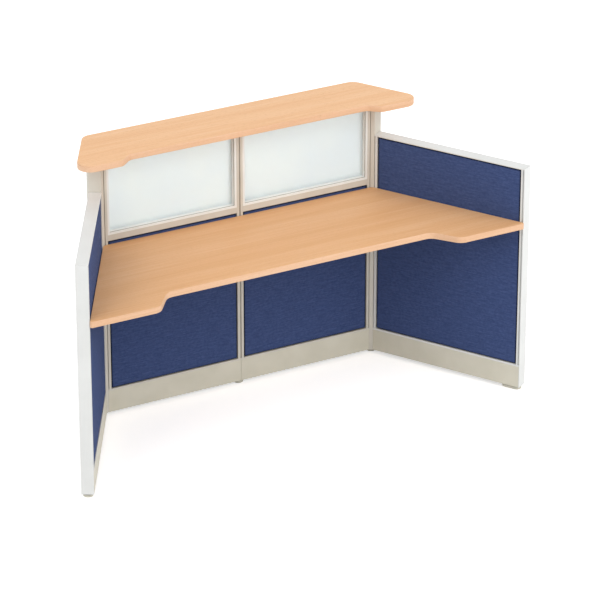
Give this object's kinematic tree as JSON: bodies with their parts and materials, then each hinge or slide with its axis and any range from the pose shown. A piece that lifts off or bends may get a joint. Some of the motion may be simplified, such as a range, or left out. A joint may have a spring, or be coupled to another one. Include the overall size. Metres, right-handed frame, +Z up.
{
  "type": "reception desk",
  "caption": "Reception desk with a panel wall of fabric tiles and frosted glass, splayed side panels, a shaped worktop and a raised transaction counter.",
  "frame": {"origin": "on the floor, under the centre of the whole desk", "axes": "+Z up; +X along the wall, to the right hand of the person at the worktop; +Y from that person towards the visitor"},
  "size_m": [2.0014, 0.7782, 1.155],
  "materials": {
    "beech_laminate": "satin beech laminate",
    "edge_band": "satin beech-coloured edge band",
    "woven_fabric": "plain woven navy fabric",
    "frosted_glass": "frosted",
    "kick_plate_paint": "satin warm grey paint",
    "screw_steel": "zinc plated",
    "bracket_steel": "powder coated",
    "strip_aluminium": "mill finish",
    "foot_plastic": "grey nylon disc on a stud",
    "frame_paint": "satin cream powder coat"
  },
  "bodies": {
    "desk": {"worktop": "beech_laminate", "worktop_edging": "edge_band", "counter": "beech_laminate", "counter_edging": "edge_band", "wall_left_outer_upright": "frame_paint", "wall_left_inner_upright": "frame_paint", "wall_right_inner_upright": "frame_paint", "wall_right_outer_upright": "frame_paint", "wall_base_rail": "frame_paint", "wall_top_rail": "frame_paint", "wall_left_middle_rail": "frame_paint", "wall_right_middle_rail": "frame_paint", "side_left_back_upright": "frame_paint", "side_left_front_upright": "frame_paint", "side_right_back_upright": "frame_paint", "side_right_front_upright": "frame_paint", "side_left_base_rail": "frame_paint", "side_right_base_rail": "frame_paint", "side_left_top_rail": "frame_paint", "side_right_top_rail": "frame_paint", "side_left_cross_rail": "frame_paint", "side_right_cross_rail": "frame_paint", "wall_left_inside_tile": "woven_fabric", "wall_right_inside_tile": "woven_fabric", "wall_left_outside_tile": "woven_fabric", "wall_right_outside_tile": "woven_fabric", "side_left_inside_tile": "woven_fabric", "side_right_inside_tile": "woven_fabric", "side_left_outside_tile": "woven_fabric", "side_right_outside_tile": "woven_fabric", "left_glass_pane": "frosted_glass", "right_glass_pane": "frosted_glass", "left_inside_bead": "frame_paint", "right_inside_bead": "frame_paint", "left_outside_bead": "frame_paint", "right_outside_bead": "frame_paint", "left_corner_post": "frame_paint", "right_corner_post": "frame_paint", "joining_strips": "strip_aluminium", "left_end_cover": "frame_paint", "right_end_cover": "frame_paint", "wall_left_inside_kick_plate": "kick_plate_paint", "wall_right_inside_kick_plate": "kick_plate_paint", "wall_outside_kick_plate": "kick_plate_paint", "side_left_inside_kick_plate": "kick_plate_paint", "side_right_inside_kick_plate": "kick_plate_paint", "side_left_outside_kick_plate": "kick_plate_paint", "side_right_outside_kick_plate": "kick_plate_paint", "middle_worktop_bracket": "bracket_steel", "left_worktop_bracket": "bracket_steel", "right_worktop_bracket": "bracket_steel", "left_counter_bracket": "bracket_steel", "right_counter_bracket": "bracket_steel", "bracket_screws": "screw_steel", "rail_screws": "screw_steel"},
    "middle_foot": {"middle_foot": "foot_plastic"},
    "left_corner_foot": {"left_corner_foot": "foot_plastic"},
    "right_corner_foot": {"right_corner_foot": "foot_plastic"},
    "left_end_foot": {"left_end_foot": "foot_plastic"},
    "right_end_foot": {"right_end_foot": "foot_plastic"}
  },
  "joints": [
    {"name": "middle_foot_height", "type": "slide", "parent": "desk", "child": "middle_foot", "axis": [0, 0, 1], "range_m": [-0.012, 0.0035]},
    {"name": "left_corner_foot_height", "type": "slide", "parent": "desk", "child": "left_corner_foot", "axis": [0, 0, 1], "range_m": [-0.012, 0.0035]},
    {"name": "right_corner_foot_height", "type": "slide", "parent": "desk", "child": "right_corner_foot", "axis": [0, 0, 1], "range_m": [-0.012, 0.0035]},
    {"name": "left_end_foot_height", "type": "slide", "parent": "desk", "child": "left_end_foot", "axis": [0, 0, 1], "range_m": [-0.012, 0.0035]},
    {"name": "right_end_foot_height", "type": "slide", "parent": "desk", "child": "right_end_foot", "axis": [0, 0, 1], "range_m": [-0.012, 0.0035]}
  ]
}
